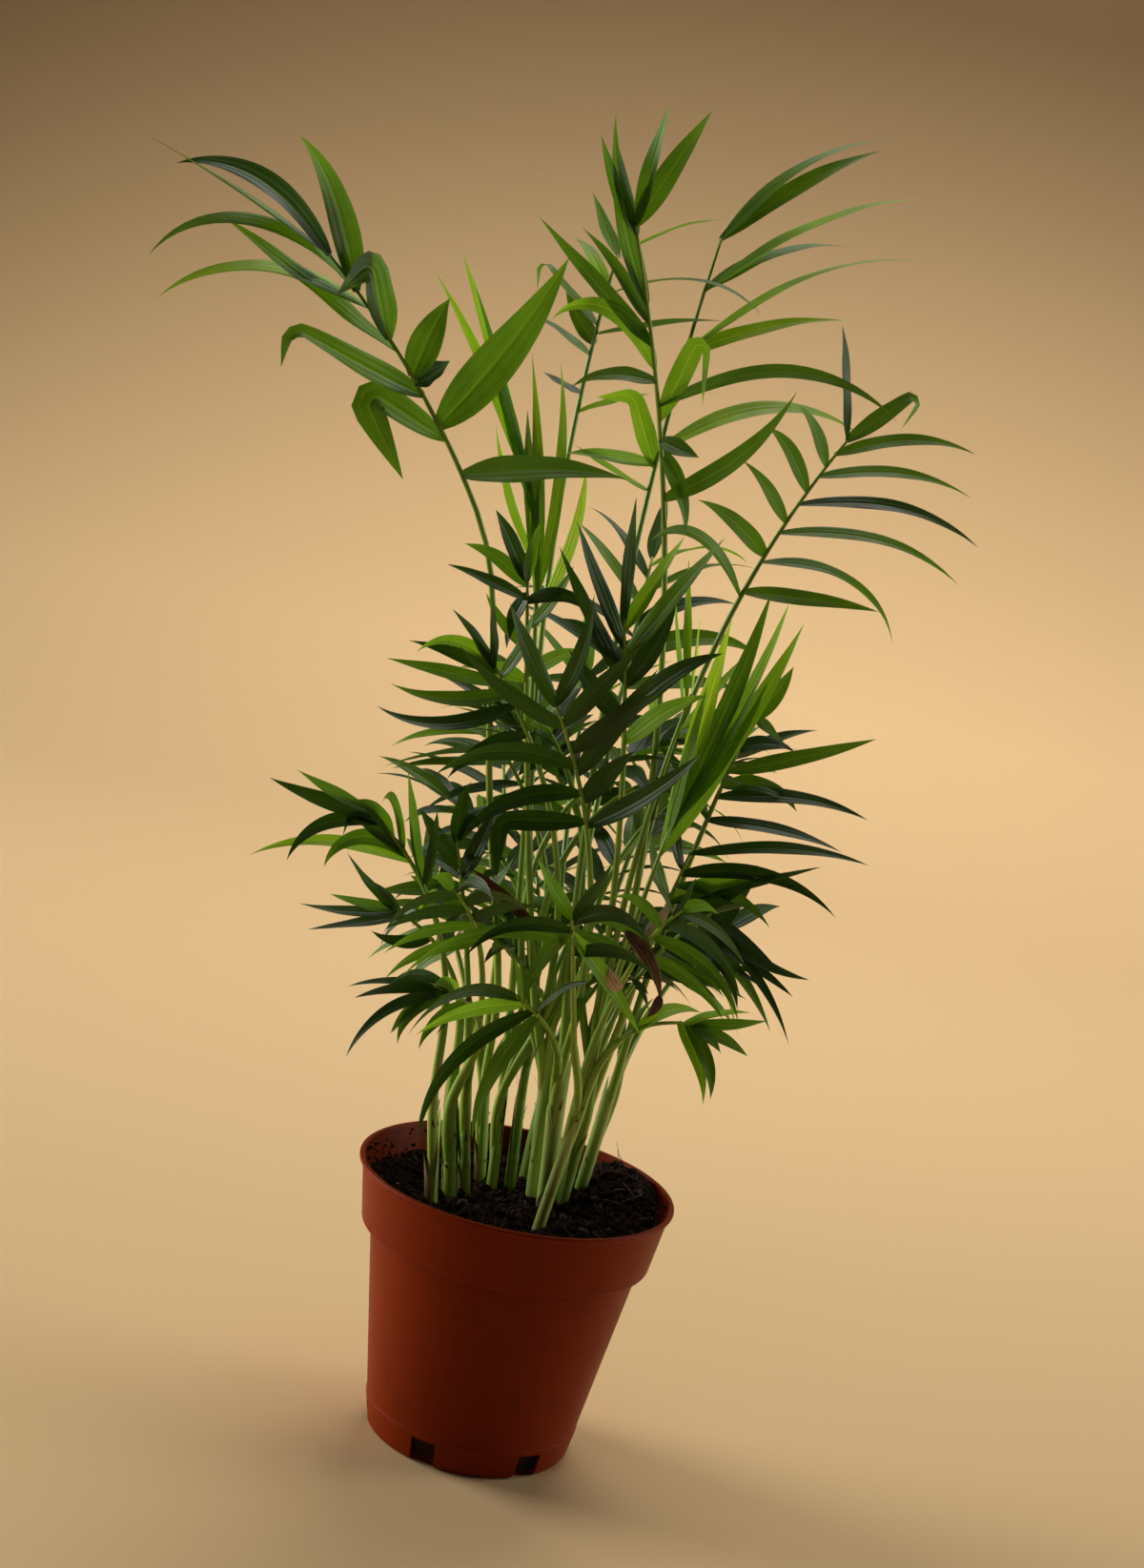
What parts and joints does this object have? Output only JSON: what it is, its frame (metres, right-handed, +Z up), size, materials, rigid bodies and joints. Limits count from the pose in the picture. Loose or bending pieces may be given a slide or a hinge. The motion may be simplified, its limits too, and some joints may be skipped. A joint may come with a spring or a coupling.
{
  "type": "potted parlour palm",
  "caption": "Parlour palm: a clump of slim green canes with feathery arching fronds, growing in a round tapered nursery pot with a rim collar.",
  "frame": {"origin": "middle of the pot's flat underside", "axes": "+Z up, -Y towards the pictured front, +X to the right"},
  "size_m": [0.3193, 0.2559, 0.5112],
  "materials": {
    "pot": "matt moulded plastic, terracotta orange",
    "soil": "dark crumbly peat with fibres",
    "cane": "smooth light green with brown sheaths",
    "frond": "glossy deep green leaf with fine veins",
    "spear": "glossy young yellow-green leaf"
  },
  "bodies": {
    "root": {"cane_1": "cane", "cane_10": "cane", "cane_11": "cane", "cane_12": "cane", "cane_13": "cane", "cane_2": "cane", "cane_3": "cane", "cane_4": "cane", "cane_5": "cane", "cane_6": "cane", "cane_7": "cane", "cane_8": "cane", "cane_9": "cane", "frond_back_high": "frond", "frond_back_left": "frond", "frond_back_low": "frond", "frond_back_low_left": "frond", "frond_back_low_right": "frond", "frond_back_middle": "frond", "frond_back_right": "frond", "frond_centre": "frond", "frond_front_left": "frond", "frond_front_right": "frond", "frond_left": "frond", "frond_left_back": "frond", "frond_low_far_left": "frond", "frond_low_front": "frond", "frond_low_front_left": "frond", "frond_low_left_in": "frond", "frond_low_left_mid": "frond", "frond_low_left_up": "frond", "frond_low_right": "frond", "frond_middle_left": "frond", "frond_middle_right": "frond", "frond_right": "frond", "frond_right_low": "frond", "frond_right_mid": "frond", "frond_right_upper": "frond", "frond_top": "frond", "frond_top_back": "frond", "frond_top_right": "frond", "frond_upper_left": "frond", "pot": "pot", "soil": "soil", "spear_left": "spear", "spear_middle": "spear", "spear_right": "spear"}
  },
  "joints": []
}
